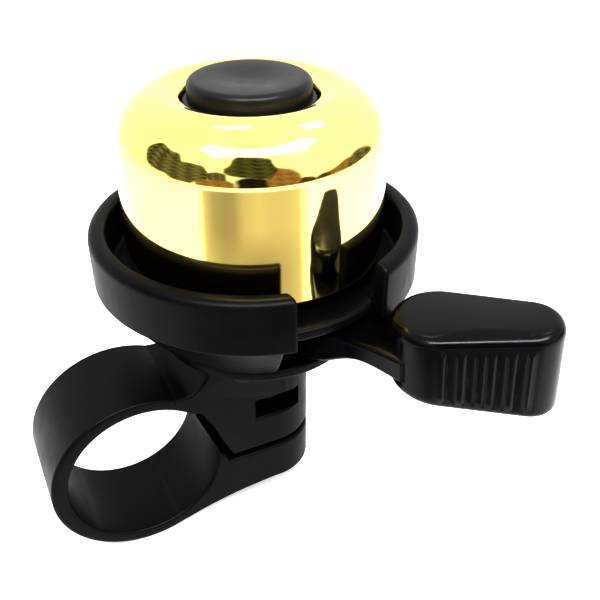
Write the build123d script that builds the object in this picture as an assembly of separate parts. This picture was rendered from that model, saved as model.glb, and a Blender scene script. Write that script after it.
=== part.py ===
from build123d import *
import os
from math import cos, radians, sin

# Bicycle bell with a thumb lever, for a 22.2 mm handlebar. Millimetres.
# Origin: centre of the handlebar bore. The bar runs along Y, +Z is up and the
# dome stands beside the bar on a vertical axis at X = DOME_AXIS_X.
# A bearing is an angle about the dome axis: 0 points along -Y, 90 along +X.

# ---- driving dimensions -------------------------------------------------------
BAR_RADIUS = 11.1
BAND_WALL = 1.8
BAND_WIDTH = 14.4
DOME_AXIS_X = 20.8

DOME_RADIUS = 17.5
DOME_WALL = 1.1
DOME_EDGE_Z = 29.5
DOME_SHOULDER_Z = 44.0
DOME_CREST_RADIUS = 11.0
DOME_CREST_Z = 51.4
SEAT_RADIUS = 8.7
SEAT_LIP_Z = 50.8
SEAT_FLOOR_Z = 47.5

CUP_RADIUS = 22.3
CUP_INNER = 19.9
CUP_RIM_Z = 33.6
CUP_BOTTOM_Z = 26.1
CUP_FLOOR = 1.6
HUB_TOP_RADIUS = 21.6
HUB_RADIUS = 14.2
HUB_WALL = 1.6
HUB_BOTTOM_Z = 17.3
NOTCH_BEARING = 6.3
NOTCH_WIDTH = 12.4
NOTCH_START = 20.2
NOTCH_INNER = 17.0
WINDOW_START = -14.0
WINDOW_END = 64.0
WINDOW_INNER = 9.0

FLANGE_BOTTOM_Z = 15.8
NECK_RADIUS = 7.2
BLOCK_BOTTOM_Z = -1.9
BLOCK_LEFT_X = 10.6
CLAMP_GAP = 1.0
TAB_BOTTOM_Z = -9.5
LIP_ANGLE = 43.0
LIVING_HINGE_GAP = 0.3

LEVER_BEARING = 15.8
LEVER_HUB_RADIUS = 8.5
LEVER_HUB_HEIGHT = 3.2
ARM_WIDTH = 6.0
ARM_SHOULDER_WIDTH = 9.5
PAD_CENTRE = (15.1, -30.9)
PAD_TURN = -30.8
PAD_LENGTH = 18.6
PAD_FRONT = 5.55
PAD_BACK_INNER = 7.8
PAD_BACK_OUTER = 2.1
PAD_TOP_INNER_Z = 30.9
PAD_TOP_OUTER_Z = 32.6
PAD_BOTTOM_INNER_Z = 21.9
PAD_BOTTOM_OUTER_Z = 20.3
RIB_COUNT = 10
RIB_HEIGHT = 0.35

SPINDLE_RADIUS = 4.0
PILLAR_RADIUS = 3.0
SPINDLE_TOP_Z = 45.4
RUNNING_GAP = 0.05

M4_RADIUS = 2.0
M4_HEAD_RADIUS = 3.6
M4_NUT_FLATS = 7.0
M4_NUT_HEIGHT = 3.2
M4_HEAD_ROUNDING = 0.8
M4_RECESS_SIZE = 4.0
M4_RECESS_DEPTH = 1.3


# ---- helpers ------------------------------------------------------------------
def on_dome_axis(shape):
    return Pos(DOME_AXIS_X, 0, 0) * shape


def turned(*outline):
    """Revolve a closed (radius, z) outline about the dome axis."""
    face = make_face(Plane.XZ * Polyline(*outline, close=True))
    return on_dome_axis(revolve(face, Axis.Z))


def ring(outer, inner, bottom, top):
    return turned((inner, bottom), (outer, bottom), (outer, top), (inner, top))


def disc(radius, bottom, top):
    return turned((0, bottom), (radius, bottom), (radius, top), (0, top))


def at_bearing(shape, bearing):
    """Turn a shape built along +X from the origin to a bearing on the dome axis."""
    return on_dome_axis(Rot(0, 0, bearing - 90) * shape)


def block(x0, x1, y0, y1, z0, z1):
    size = (x1 - x0, y1 - y0, z1 - z0)
    return Pos((x0 + x1) / 2, (y0 + y1) / 2, (z0 + z1) / 2) * Box(*size)


def side_plate(outline, width):
    """Extrude a closed (x, z) wire outline to a width centred on Y = 0."""
    face = make_face(outline)
    return extrude(face, amount=width / 2, both=True)


def bar_point(radius, angle):
    return (radius * cos(radians(angle)), radius * sin(radians(angle)))


def hexagon(flats, bottom, height):
    """A hexagonal prism on the dome axis with two flats facing -X and +X."""
    prism = extrude(RegularPolygon(flats / 2, 6, major_radius=False, rotation=30), amount=height)
    return on_dome_axis(Pos(0, 0, bottom) * prism)


def pan_head(radius, height, lift):
    """A pan head whose flat side is at z = 0 and whose crown points up."""
    head = Cylinder(radius, height, align=(Align.CENTER, Align.CENTER, Align.MIN))
    head = fillet(head.edges().group_by(Axis.Z)[-1], lift)
    return head


def cross_recess(size, depth):
    arm = Box(size, size / 4, depth, align=(Align.CENTER, Align.CENTER, Align.MAX))
    return arm + Rot(0, 0, 90) * arm


def screw_head(height):
    """The head of an M4 pan-head screw with its cross recess."""
    head = pan_head(M4_HEAD_RADIUS, height, M4_HEAD_ROUNDING)
    return head - Pos(0, 0, height) * cross_recess(M4_RECESS_SIZE, M4_RECESS_DEPTH)


# ---- clamp: body, band and hardware -------------------------------------------
LIP_TOP = (8.9, 7.9)
LIP_FOOT = (13.2, BLOCK_BOTTOM_Z)
BAND_OUTER = BAR_RADIUS + BAND_WALL
ROOT_START = (5.2, 11.8)
ROOT_MIDDLE = (8.7, 12.5)
NUT_SLOT_BOTTOM_Z = 3.6
NUT_SLOT_HEIGHT = 3.4
NUT_SIDE_GAP = 0.1
NUT_CORNER_ROOM = 0.7
INSERT_RADIUS = 3.2
INSERT_BORE = 2.55
INSERT_BOTTOM_Z = 10.8
PASSAGE_TOP_Z = 9.8
SCREW_BOSS_BEARINGS = (85, 205, 325)
SCREW_BOSS_RING = 11.2
SCREW_BOSS_RADIUS = 1.9
SELF_TAPPER_RADIUS = 1.0
SELF_TAPPER_HOLE = 1.15
BUMPER_BEARING = 257.5
BUMPER_RING = 10.6
BUMPER_RADIUS = 1.6
BUMPER_HEIGHT = 3.8
PEG_RADIUS = 0.8
PEG_HEIGHT = 3.4
TAB_RECESS_Z = -5.8
TAB_RECESS_RADIUS = 4.7
SCREW_PASSAGE_RADIUS = 2.25
TAB_PASSAGE_RADIUS = 2.5
CLAMP_WASHER_THICKNESS = 0.8
CLAMP_HEAD_HEIGHT = 2.3
CLAMP_WASHER_RADIUS = 4.0
WASHER_BORE = 2.15
SCREW_END_Z = 8.6
SCREW_CHAMFER = 0.4
LIP_GAP = 0.7
ROOT_INSIDE = (4.6, 10.4)
TAB_TANGENT = (4.4, -12.13)
TAB_BELLY = ((9.0, -10.9), (14.0, -10.0))
TAB_INSIDE = (4.0, -10.6)
BLEND_OVERLAP = 0.1
CUT = 1.0


def at_ring(shape, bearing, ring_radius):
    return at_bearing(Pos(ring_radius, 0, 0) * shape, bearing)


def upright(radius, bottom, top):
    rod = Cylinder(radius, top - bottom, align=(Align.CENTER, Align.CENTER, Align.MIN))
    return Pos(0, 0, bottom) * rod


def across_bar(radius):
    return Rot(90, 0, 0) * Cylinder(radius, 4 * BAND_WIDTH)


def clamp_body():
    root = Polyline(
        ROOT_START,
        ROOT_INSIDE,
        LIP_TOP,
        LIP_FOOT,
        (DOME_AXIS_X, BLOCK_BOTTOM_Z),
        (DOME_AXIS_X, FLANGE_BOTTOM_Z),
        (BLOCK_LEFT_X, FLANGE_BOTTOM_Z),
    )
    fillet_arc = ThreePointArc((BLOCK_LEFT_X, FLANGE_BOTTOM_Z), ROOT_MIDDLE, ROOT_START)
    body = side_plate(Plane.XZ * (root + fillet_arc), BAND_WIDTH)
    body += on_dome_axis(upright(NECK_RADIUS, BLOCK_BOTTOM_Z, FLANGE_BOTTOM_Z))

    half_band = Rot(90, 0, 0) * Cylinder(BAND_OUTER, BAND_WIDTH)
    hinge_z = LIVING_HINGE_GAP / 2
    half_band &= block(-BAND_OUTER, ROOT_START[0], -BAND_WIDTH, BAND_WIDTH, hinge_z, BAND_OUTER)
    body += half_band
    body -= across_bar(BAR_RADIUS)
    body += disc(HUB_RADIUS, FLANGE_BOTTOM_Z, HUB_BOTTOM_Z)

    slot_half = M4_NUT_FLATS / 2 + NUT_SIDE_GAP
    body -= block(
        DOME_AXIS_X - slot_half,
        DOME_AXIS_X + slot_half,
        -BAND_WIDTH,
        slot_half + NUT_CORNER_ROOM,
        NUT_SLOT_BOTTOM_Z,
        NUT_SLOT_BOTTOM_Z + NUT_SLOT_HEIGHT,
    )
    body -= on_dome_axis(upright(SCREW_PASSAGE_RADIUS, BLOCK_BOTTOM_Z - CUT, PASSAGE_TOP_Z))
    body -= on_dome_axis(upright(INSERT_RADIUS, INSERT_BOTTOM_Z, HUB_BOTTOM_Z + CUT))
    for bearing in SCREW_BOSS_BEARINGS:
        hole = upright(SELF_TAPPER_HOLE, FLANGE_BOTTOM_Z - CUT, HUB_BOTTOM_Z + CUT)
        body -= at_ring(hole, bearing, SCREW_BOSS_RING)
    peg = upright(PEG_RADIUS, FLANGE_BOTTOM_Z, HUB_BOTTOM_Z + PEG_HEIGHT)
    return body + at_ring(peg, BUMPER_BEARING, BUMPER_RING)


def clamp_band():
    """The lower half of the loop, its rising lip and the tab under the block."""
    tab_top = BLOCK_BOTTOM_Z - CLAMP_GAP
    underside = Spline(TAB_TANGENT, *TAB_BELLY, (DOME_AXIS_X, TAB_BOTTOM_Z))
    outline = Polyline(
        (DOME_AXIS_X, TAB_BOTTOM_Z),
        (DOME_AXIS_X, tab_top),
        (LIP_FOOT[0] - LIP_GAP, tab_top),
        bar_point(BAR_RADIUS - BLEND_OVERLAP, LIP_ANGLE),
        TAB_INSIDE,
        TAB_TANGENT,
    )
    band = side_plate(Plane.XZ * (underside + outline), BAND_WIDTH)
    band += on_dome_axis(upright(NECK_RADIUS, TAB_BOTTOM_Z, tab_top))
    loop = Rot(90, 0, 0) * Cylinder(BAND_OUTER, BAND_WIDTH)
    hinge_z = -LIVING_HINGE_GAP / 2
    loop &= block(-BAND_OUTER, NECK_RADIUS, -BAND_WIDTH, BAND_WIDTH, -BAND_OUTER, hinge_z)
    band += loop
    band -= across_bar(BAR_RADIUS)
    band -= on_dome_axis(upright(TAB_PASSAGE_RADIUS, TAB_BOTTOM_Z - CUT, tab_top + CUT))
    band -= on_dome_axis(upright(TAB_RECESS_RADIUS, TAB_BOTTOM_Z - CUT, TAB_RECESS_Z))
    return band


def clamp_nut():
    nut = hexagon(M4_NUT_FLATS, NUT_SLOT_BOTTOM_Z + NUT_SIDE_GAP, M4_NUT_HEIGHT)
    bore = upright(M4_RADIUS + RUNNING_GAP, NUT_SLOT_BOTTOM_Z, NUT_SLOT_BOTTOM_Z + NUT_SLOT_HEIGHT)
    return nut - on_dome_axis(bore)


def clamp_washer():
    top = TAB_RECESS_Z - RUNNING_GAP
    return ring(CLAMP_WASHER_RADIUS, WASHER_BORE, top - CLAMP_WASHER_THICKNESS, top)


def clamp_screw():
    """A pan-head screw pushed up through the tab into the captive nut."""
    seat = TAB_RECESS_Z - CLAMP_WASHER_THICKNESS - 2 * RUNNING_GAP
    head = Pos(0, 0, seat) * (Rot(180, 0, 0) * screw_head(CLAMP_HEAD_HEIGHT))
    shank = upright(M4_RADIUS, seat, SCREW_END_Z)
    shank = chamfer(shank.edges().sort_by(Axis.Z)[-1], SCREW_CHAMFER)
    return on_dome_axis(head + shank)


def threaded_insert():
    return ring(INSERT_RADIUS, INSERT_BORE, INSERT_BOTTOM_Z, HUB_BOTTOM_Z)


# ---- base cup -----------------------------------------------------------------
SLEEVE_RADIUS = 6.6
SLEEVE_HOLE = 7.2
RIM_ROUNDING = 1.1
RIM_INNER_ROUNDING = 0.4
CUP_BOTTOM_ROUNDING = 0.3
BOSS_RISE = 0.5
TAPPER_HEAD_RADIUS = 1.9
TAPPER_HEAD_HEIGHT = 1.3
TAPPER_HEAD_ROUNDING = 0.5
TAPPER_RECESS_SIZE = 2.2
TAPPER_RECESS_DEPTH = 0.8
TAPPER_LENGTH = 6.5
MATCH = 0.01


def round_edges(shape, radius, z, rounding):
    """Round the full circles of one radius that lie at one height."""
    circles = shape.edges().filter_by(GeomType.CIRCLE)
    chosen = [e for e in circles if abs(e.radius - radius) < MATCH and abs(e.center().Z - z) < MATCH]
    return fillet(chosen, rounding)


def sector(outer, inner, start, end, bottom, top):
    """Part of a ring between two bearings less than 180 degrees apart."""
    reach = 2 * outer
    middle = (start + end) / 2
    corners = [(reach * sin(radians(b)), -reach * cos(radians(b))) for b in (start, middle, end)]
    wedge = extrude(make_face(Polyline((0, 0), *corners, close=True)), amount=top - bottom)
    return ring(outer, inner, bottom, top) & on_dome_axis(Pos(0, 0, bottom) * wedge)


def base_cup():
    floor_top = CUP_BOTTOM_Z + CUP_FLOOR
    cup = turned(
        (HUB_RADIUS - HUB_WALL, HUB_BOTTOM_Z),
        (HUB_RADIUS, HUB_BOTTOM_Z),
        (HUB_TOP_RADIUS, CUP_BOTTOM_Z),
        (CUP_RADIUS, CUP_BOTTOM_Z),
        (CUP_RADIUS, CUP_RIM_Z),
        (CUP_INNER, CUP_RIM_Z),
        (CUP_INNER, floor_top),
        (SLEEVE_HOLE, floor_top),
        (SLEEVE_HOLE, CUP_BOTTOM_Z),
        (HUB_TOP_RADIUS - HUB_WALL, CUP_BOTTOM_Z),
    )
    cup = round_edges(cup, CUP_RADIUS, CUP_RIM_Z, RIM_ROUNDING)
    cup = round_edges(cup, CUP_INNER, CUP_RIM_Z, RIM_INNER_ROUNDING)
    cup = round_edges(cup, CUP_RADIUS, CUP_BOTTOM_Z, CUP_BOTTOM_ROUNDING)

    beyond = CUP_RADIUS + CUT
    half_notch = NOTCH_WIDTH / 2
    wall_gap = block(NOTCH_INNER, beyond, -half_notch, half_notch, floor_top, CUP_RIM_Z + CUT)
    edge_trim = block(NOTCH_START, beyond, -half_notch, half_notch, HUB_BOTTOM_Z, CUP_RIM_Z + CUT)
    cup -= at_bearing(wall_gap, NOTCH_BEARING)
    cup -= at_bearing(edge_trim, NOTCH_BEARING)
    cup -= sector(beyond, WINDOW_INNER, WINDOW_START, WINDOW_END, HUB_BOTTOM_Z, CUP_BOTTOM_Z)
    for bearing in SCREW_BOSS_BEARINGS:
        boss = upright(SCREW_BOSS_RADIUS, HUB_BOTTOM_Z, CUP_BOTTOM_Z + BOSS_RISE)
        pilot = upright(SELF_TAPPER_RADIUS + RUNNING_GAP, HUB_BOTTOM_Z, CUP_BOTTOM_Z - CUT)
        cup += at_ring(boss, bearing, SCREW_BOSS_RING)
        cup -= at_ring(pilot, bearing, SCREW_BOSS_RING)
    return cup


def base_screws():
    head_bottom = FLANGE_BOTTOM_Z - RUNNING_GAP
    head = pan_head(TAPPER_HEAD_RADIUS, TAPPER_HEAD_HEIGHT, TAPPER_HEAD_ROUNDING)
    head -= Pos(0, 0, TAPPER_HEAD_HEIGHT) * cross_recess(TAPPER_RECESS_SIZE, TAPPER_RECESS_DEPTH)
    head = Pos(0, 0, head_bottom) * (Rot(180, 0, 0) * head)
    shank = upright(SELF_TAPPER_RADIUS, head_bottom, HUB_BOTTOM_Z + TAPPER_LENGTH)
    screws = [at_ring(head + shank, bearing, SCREW_BOSS_RING) for bearing in SCREW_BOSS_BEARINGS]
    return Compound(children=screws)


def stop_bumper():
    sleeve = upright(BUMPER_RADIUS, HUB_BOTTOM_Z, HUB_BOTTOM_Z + BUMPER_HEIGHT)
    sleeve -= upright(PEG_RADIUS, HUB_BOTTOM_Z, HUB_BOTTOM_Z + PEG_HEIGHT)
    return at_ring(sleeve, BUMPER_BEARING, BUMPER_RING)


# ---- lever --------------------------------------------------------------------
LEVER_BOTTOM_Z = HUB_BOTTOM_Z + 0.6
LEVER_HUB_TOP_Z = LEVER_BOTTOM_Z + LEVER_HUB_HEIGHT
SLEEVE_TOP_Z = 28.0
THRUST_WASHER_RADIUS = 8.0
THRUST_WASHER_THICKNESS = 0.5
BUSH_RADIUS = 5.2
BUSH_TOP_Z = SLEEVE_TOP_Z + 0.9
LUG_BEARING = 278.0
LUG_REACH = 11.9
LUG_WIDTH = 4.0
LUG_BOTTOM_Z = LEVER_BOTTOM_Z + 0.2
ARM_ROOT_RADIUS = 6.2
ARM_ROOT_TOP = (12.6, LEVER_HUB_TOP_Z)
ARM_ROOT_FOOT = (14.0, 18.1)
ARM_TIP_TOP = (29.6, 27.2)
ARM_TIP_FOOT = (29.6, 23.7)
ARM_UNDERSIDE = ((17.8, 20.0), (21.6, 22.4), (25.0, 23.4))
ARM_CREST = ((26.0, 26.5), (22.0, 25.65), (18.6, 25.0), (15.4, 23.1))
ARM_WIDENING_START = 15.5
ARM_WIDENING_END = 19.0
PAD_CORNER = 4.2
PAD_TOP_ROUNDING = 1.0
PAD_BOTTOM_ROUNDING = 1.2
RIB_SPACING = 1.2
RIB_SHIFT = -0.8
RIB_RADIUS = 0.42
RIB_FOOT_RISE = 1.2
RIB_TOP_Z = 29.4
SPRING_WIRE_RADIUS = 0.4
SPRING_RADIUS = 7.5
SPRING_TURNS = 4
SPRING_PITCH = 0.92


def thrust_washer():
    top = HUB_BOTTOM_Z + THRUST_WASHER_THICKNESS
    return ring(THRUST_WASHER_RADIUS, SPINDLE_RADIUS + RUNNING_GAP, HUB_BOTTOM_Z, top)


def lever_bush():
    return ring(BUSH_RADIUS, SPINDLE_RADIUS + RUNNING_GAP, LEVER_BOTTOM_Z, BUSH_TOP_Z)


def lever_arm():
    """A flat arm that leaves the hub low and rises outwards like a swan's neck."""
    underside = Spline(ARM_ROOT_FOOT, *ARM_UNDERSIDE, ARM_TIP_FOOT)
    upperside = Spline(ARM_TIP_TOP, *ARM_CREST, ARM_ROOT_TOP)
    root = Polyline(
        ARM_ROOT_TOP,
        (ARM_ROOT_RADIUS, LEVER_HUB_TOP_Z),
        (ARM_ROOT_RADIUS, ARM_ROOT_FOOT[1]),
        ARM_ROOT_FOOT,
    )
    tip = Line(ARM_TIP_FOOT, ARM_TIP_TOP)
    arm = side_plate(Plane.XZ * (root + underside + tip + upperside), 2 * ARM_SHOULDER_WIDTH)
    near = -ARM_WIDTH / 2
    far = near + ARM_SHOULDER_WIDTH
    plan = Polyline(
        (0, near),
        (ARM_TIP_FOOT[0], near),
        (ARM_TIP_FOOT[0], far),
        (ARM_WIDENING_END, far),
        (ARM_WIDENING_START, -near),
        (0, -near),
        close=True,
    )
    return at_bearing(arm & extrude(make_face(plan), amount=PAD_TOP_OUTER_Z), LEVER_BEARING)


def pad_side_view(foot_rise, top_inner, top_outer):
    """The pad seen from the rider's side, taller at its outer end."""
    half = PAD_LENGTH / 2
    return Polyline(
        (-half, PAD_BOTTOM_INNER_Z + foot_rise),
        (half, PAD_BOTTOM_OUTER_Z + foot_rise),
        (half, top_outer),
        (-half, top_inner),
        close=True,
    )


def pad_ribs():
    """Upright ribs in a row, cut off above the pad's slanting lower edge."""
    front = RIB_RADIUS - RIB_HEIGHT - PAD_FRONT
    first = RIB_SHIFT - RIB_SPACING * (RIB_COUNT - 1) / 2
    ribs = Part()
    for index in range(RIB_COUNT):
        rib = upright(RIB_RADIUS, PAD_BOTTOM_OUTER_Z, PAD_TOP_OUTER_Z)
        ribs += Pos(first + RIB_SPACING * index, front, 0) * rib
    limits = pad_side_view(RIB_FOOT_RISE, RIB_TOP_Z, RIB_TOP_Z)
    return ribs & side_plate(Plane.XZ * limits, 2 * PAD_LENGTH)


def thumb_pad():
    """The pad, deepest at its inner end, with the ribs on the side that is pushed."""
    half = PAD_LENGTH / 2
    plan = Polyline(
        (-half, -PAD_FRONT),
        (half, -PAD_FRONT),
        (half, PAD_BACK_OUTER),
        (-half, PAD_BACK_INNER),
        close=True,
    )
    side_view = pad_side_view(0, PAD_TOP_INNER_Z, PAD_TOP_OUTER_Z)
    pad = side_plate(Plane.XZ * side_view, 2 * PAD_LENGTH)
    pad &= extrude(make_face(plan), amount=PAD_LENGTH + PAD_TOP_OUTER_Z)
    pad = fillet(pad.edges().filter_by(Axis.Z), PAD_CORNER)
    pad = fillet(pad.faces().sort_by(Axis.Z)[-1].edges(), PAD_TOP_ROUNDING)
    pad = fillet(pad.faces().sort_by(Axis.Z)[0].edges(), PAD_BOTTOM_ROUNDING)
    return on_dome_axis(Pos(*PAD_CENTRE, 0) * (Rot(0, 0, PAD_TURN) * (pad + pad_ribs())))


def thumb_lever():
    lever = ring(LEVER_HUB_RADIUS, BUSH_RADIUS, LEVER_BOTTOM_Z, LEVER_HUB_TOP_Z)
    lever += ring(SLEEVE_RADIUS, BUSH_RADIUS, LEVER_BOTTOM_Z, SLEEVE_TOP_Z)
    half = LUG_WIDTH / 2
    lug = block(ARM_ROOT_RADIUS, LUG_REACH, -half, half, LUG_BOTTOM_Z, LEVER_HUB_TOP_Z)
    lever += at_bearing(lug, LUG_BEARING)
    return lever + lever_arm() + thumb_pad()


def return_spring():
    """A torsion spring wound round the lever's sleeve."""
    helix = Helix(SPRING_PITCH, SPRING_TURNS * SPRING_PITCH, SPRING_RADIUS)
    start = Plane(origin=helix @ 0, z_dir=helix % 0)
    spring = sweep(start * Circle(SPRING_WIRE_RADIUS), path=helix)
    bottom = LEVER_HUB_TOP_Z + SPRING_WIRE_RADIUS + RUNNING_GAP
    return on_dome_axis(Pos(0, 0, bottom) * spring)


# ---- spindle and striker ------------------------------------------------------
SPINDLE_STUD_RADIUS = 2.5
GROOVE_RADIUS = 3.2
GROOVE_BOTTOM_Z = 29.0
GROOVE_TOP_Z = 29.7
COLLAR_TOP_Z = 30.6
PILLAR_FOOT_Z = 31.2
SPINDLE_BORE = M4_RADIUS + RUNNING_GAP
SPINDLE_BORE_DEPTH = 10.0
CLIP_RADIUS = 5.8
CLIP_BORE = 3.25
CLIP_THICKNESS = 0.6
CLIP_MOUTH = 4.4
CLIP_BEARING = 20
STRIKER_BEARING = 200
BRACKET_THICKNESS = 0.8
BRACKET_WIDTH = 4.0
BRACKET_BORE = BUSH_RADIUS + 0.02
LEAF_RADIUS = 12.6
LEAF_GAP = 0.02
LEAF_THICKNESS = 0.4
LEAF_WIDTH = 3.6
LEAF_FOOT_Z = 28.9
LEAF_TOP_Z = 37.8
RIVET_Z = 30.5
RIVET_RADIUS = 0.8
RIVET_HOLE = 1.0
RIVET_PLAY = 0.2
RIVET_HEAD_RADIUS = 1.3
RIVET_HEAD_HEIGHT = 0.5
WEIGHT_Z = 35.4
WEIGHT_RADIUS = 2.2
WEIGHT_FACE = 15.9
WEIGHT_ROUNDING = 1.0
WEIGHT_TAIL_RADIUS = 0.9
WEIGHT_TAIL_HEAD = 1.4


def centre_spindle():
    return turned(
        (0, INSERT_BOTTOM_Z),
        (SPINDLE_STUD_RADIUS, INSERT_BOTTOM_Z),
        (SPINDLE_STUD_RADIUS, HUB_BOTTOM_Z),
        (SPINDLE_RADIUS, HUB_BOTTOM_Z),
        (SPINDLE_RADIUS, GROOVE_BOTTOM_Z),
        (GROOVE_RADIUS, GROOVE_BOTTOM_Z),
        (GROOVE_RADIUS, GROOVE_TOP_Z),
        (SPINDLE_RADIUS, GROOVE_TOP_Z),
        (SPINDLE_RADIUS, COLLAR_TOP_Z),
        (PILLAR_RADIUS, PILLAR_FOOT_Z),
        (PILLAR_RADIUS, SPINDLE_TOP_Z),
        (SPINDLE_BORE, SPINDLE_TOP_Z),
        (SPINDLE_BORE, SPINDLE_TOP_Z - SPINDLE_BORE_DEPTH),
        (0, SPINDLE_TOP_Z - SPINDLE_BORE_DEPTH),
    )


def retaining_ring():
    """An open clip in the spindle's groove, which holds the lever down."""
    bottom = GROOVE_BOTTOM_Z + RUNNING_GAP
    top = bottom + CLIP_THICKNESS
    half = CLIP_MOUTH / 2
    mouth = block(0, CLIP_RADIUS + CUT, -half, half, bottom, top)
    return ring(CLIP_RADIUS, CLIP_BORE, bottom, top) - at_bearing(mouth, CLIP_BEARING)


def along_x(radius, x0, x1, z):
    return Pos((x0 + x1) / 2, 0, z) * (Rot(0, 90, 0) * Cylinder(radius, x1 - x0))


def striker_bracket():
    """A washer pressed on the bush, with a tongue bent up to carry the leaf."""
    bottom = SLEEVE_TOP_Z
    top = bottom + BRACKET_THICKNESS
    outer = LEAF_RADIUS - LEAF_GAP
    inner = outer - BRACKET_THICKNESS
    half = BRACKET_WIDTH / 2
    tongue = block(ARM_ROOT_RADIUS, outer, -half, half, bottom, top)
    tongue += block(inner, outer, -half, half, bottom, RIVET_Z + RIVET_HEAD_RADIUS)
    tongue -= along_x(RIVET_HOLE, inner - CUT, outer + CUT, RIVET_Z)
    return ring(SLEEVE_RADIUS, BRACKET_BORE, bottom, top) + at_bearing(tongue, STRIKER_BEARING)


def striker_leaf():
    outer = LEAF_RADIUS + LEAF_THICKNESS
    half = LEAF_WIDTH / 2
    leaf = block(LEAF_RADIUS, outer, -half, half, LEAF_FOOT_Z, LEAF_TOP_Z)
    leaf -= along_x(RIVET_RADIUS, LEAF_RADIUS - CUT, outer + CUT, RIVET_Z)
    leaf -= along_x(WEIGHT_TAIL_RADIUS, LEAF_RADIUS - CUT, outer + CUT, WEIGHT_Z)
    return at_bearing(leaf, STRIKER_BEARING)


def striker_rivet():
    """The rivet through leaf and bracket, with play where the leaf flexes."""
    outer = LEAF_RADIUS + LEAF_THICKNESS
    tail = LEAF_RADIUS - LEAF_GAP - BRACKET_THICKNESS - RIVET_PLAY
    rivet = along_x(RIVET_RADIUS, tail, outer, RIVET_Z)
    rivet += along_x(RIVET_HEAD_RADIUS, outer, outer + RIVET_HEAD_HEIGHT, RIVET_Z)
    rivet += along_x(RIVET_HEAD_RADIUS, tail - RIVET_HEAD_HEIGHT, tail, RIVET_Z)
    return at_bearing(rivet, STRIKER_BEARING)


def striker_weight():
    """The brass weight that strikes the dome, riveted through the leaf."""
    outer = LEAF_RADIUS + LEAF_THICKNESS
    tail = LEAF_RADIUS - RIVET_HEAD_HEIGHT
    weight = along_x(WEIGHT_RADIUS, outer, WEIGHT_FACE, WEIGHT_Z)
    weight = fillet(weight.edges().group_by(Axis.X)[-1], WEIGHT_ROUNDING)
    weight += along_x(WEIGHT_TAIL_RADIUS, tail, outer, WEIGHT_Z)
    weight += along_x(WEIGHT_TAIL_HEAD, tail, LEAF_RADIUS, WEIGHT_Z)
    return at_bearing(weight, STRIKER_BEARING)


# ---- dome and its fixings -----------------------------------------------------
DOME_HOLE = 2.3
LOWER_ISOLATOR_RADIUS = 6.0
UPPER_ISOLATOR_RADIUS = 5.0
UPPER_ISOLATOR_TOP_Z = SEAT_FLOOR_Z + 0.7
DOME_WASHER_RADIUS = 4.9
DOME_WASHER_TOP_Z = SEAT_FLOOR_Z + 1.4
DOME_HEAD_HEIGHT = 2.2
DOME_SCREW_LENGTH = 11.5
CAP_RADIUS = 7.85
CAP_INNER = 5.1
CAP_TOP_Z = 52.5
CAP_THICKNESS = 1.2
CAP_ROUNDING = 0.9
CAP_FLANGE_RADIUS = 8.45
CAP_FLANGE_BOTTOM_Z = 48.3
CAP_FLANGE_TOP_Z = 50.0


def shoulder_curve(offset):
    """The dome's shoulder, from its wall up to its crest, moved inwards."""
    across = DOME_RADIUS - DOME_CREST_RADIUS - offset
    rise = DOME_CREST_Z - DOME_SHOULDER_Z - offset
    centre = (DOME_CREST_RADIUS, DOME_SHOULDER_Z)
    return EllipticalCenterArc(centre, across, rise, start_angle=0, arc_size=90)


def bell_dome():
    outer = shoulder_curve(0)
    inner = shoulder_curve(DOME_WALL)
    seat_bottom = SEAT_FLOOR_Z - DOME_WALL
    seat_outer = SEAT_RADIUS + DOME_WALL
    seat = Polyline(
        outer @ 1,
        (SEAT_RADIUS, SEAT_LIP_Z),
        (SEAT_RADIUS, SEAT_FLOOR_Z),
        (DOME_HOLE, SEAT_FLOOR_Z),
        (DOME_HOLE, seat_bottom),
        (seat_outer, seat_bottom),
        (seat_outer, SEAT_LIP_Z - DOME_WALL),
        inner @ 1,
    )
    rim = Polyline(
        inner @ 0,
        (DOME_RADIUS - DOME_WALL, DOME_EDGE_Z),
        (DOME_RADIUS, DOME_EDGE_Z),
        outer @ 0,
    )
    return on_dome_axis(revolve(make_face(Plane.XZ * (outer + seat + inner + rim)), Axis.Z))


def lower_isolator():
    return ring(LOWER_ISOLATOR_RADIUS, WASHER_BORE, SPINDLE_TOP_Z, SEAT_FLOOR_Z - DOME_WALL)


def upper_isolator():
    return ring(UPPER_ISOLATOR_RADIUS, WASHER_BORE, SEAT_FLOOR_Z, UPPER_ISOLATOR_TOP_Z)


def dome_washer():
    return ring(DOME_WASHER_RADIUS, WASHER_BORE, UPPER_ISOLATOR_TOP_Z, DOME_WASHER_TOP_Z)


def dome_screw():
    head = Pos(0, 0, DOME_WASHER_TOP_Z) * screw_head(DOME_HEAD_HEIGHT)
    shank = upright(M4_RADIUS, DOME_WASHER_TOP_Z - DOME_SCREW_LENGTH, DOME_WASHER_TOP_Z)
    return on_dome_axis(head + shank)


def top_cap():
    """The button over the dome's screw, with a flange that fills the dome's seat."""
    cap = disc(CAP_RADIUS, SEAT_FLOOR_Z, CAP_TOP_Z)
    cap += disc(CAP_FLANGE_RADIUS, CAP_FLANGE_BOTTOM_Z, CAP_FLANGE_TOP_Z)
    cap -= disc(CAP_INNER, SEAT_FLOOR_Z, CAP_TOP_Z - CAP_THICKNESS)
    return round_edges(cap, CAP_RADIUS, CAP_TOP_Z, CAP_ROUNDING)


# ---- write one STEP per sub-part ----------------------------------------------
SUB_PARTS = (
    clamp_body,
    clamp_band,
    clamp_nut,
    clamp_washer,
    clamp_screw,
    threaded_insert,
    base_cup,
    base_screws,
    stop_bumper,
    thrust_washer,
    lever_bush,
    thumb_lever,
    return_spring,
    centre_spindle,
    retaining_ring,
    striker_bracket,
    striker_leaf,
    striker_rivet,
    striker_weight,
    bell_dome,
    lower_isolator,
    upper_isolator,
    dome_washer,
    dome_screw,
    top_cap,
)

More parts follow.
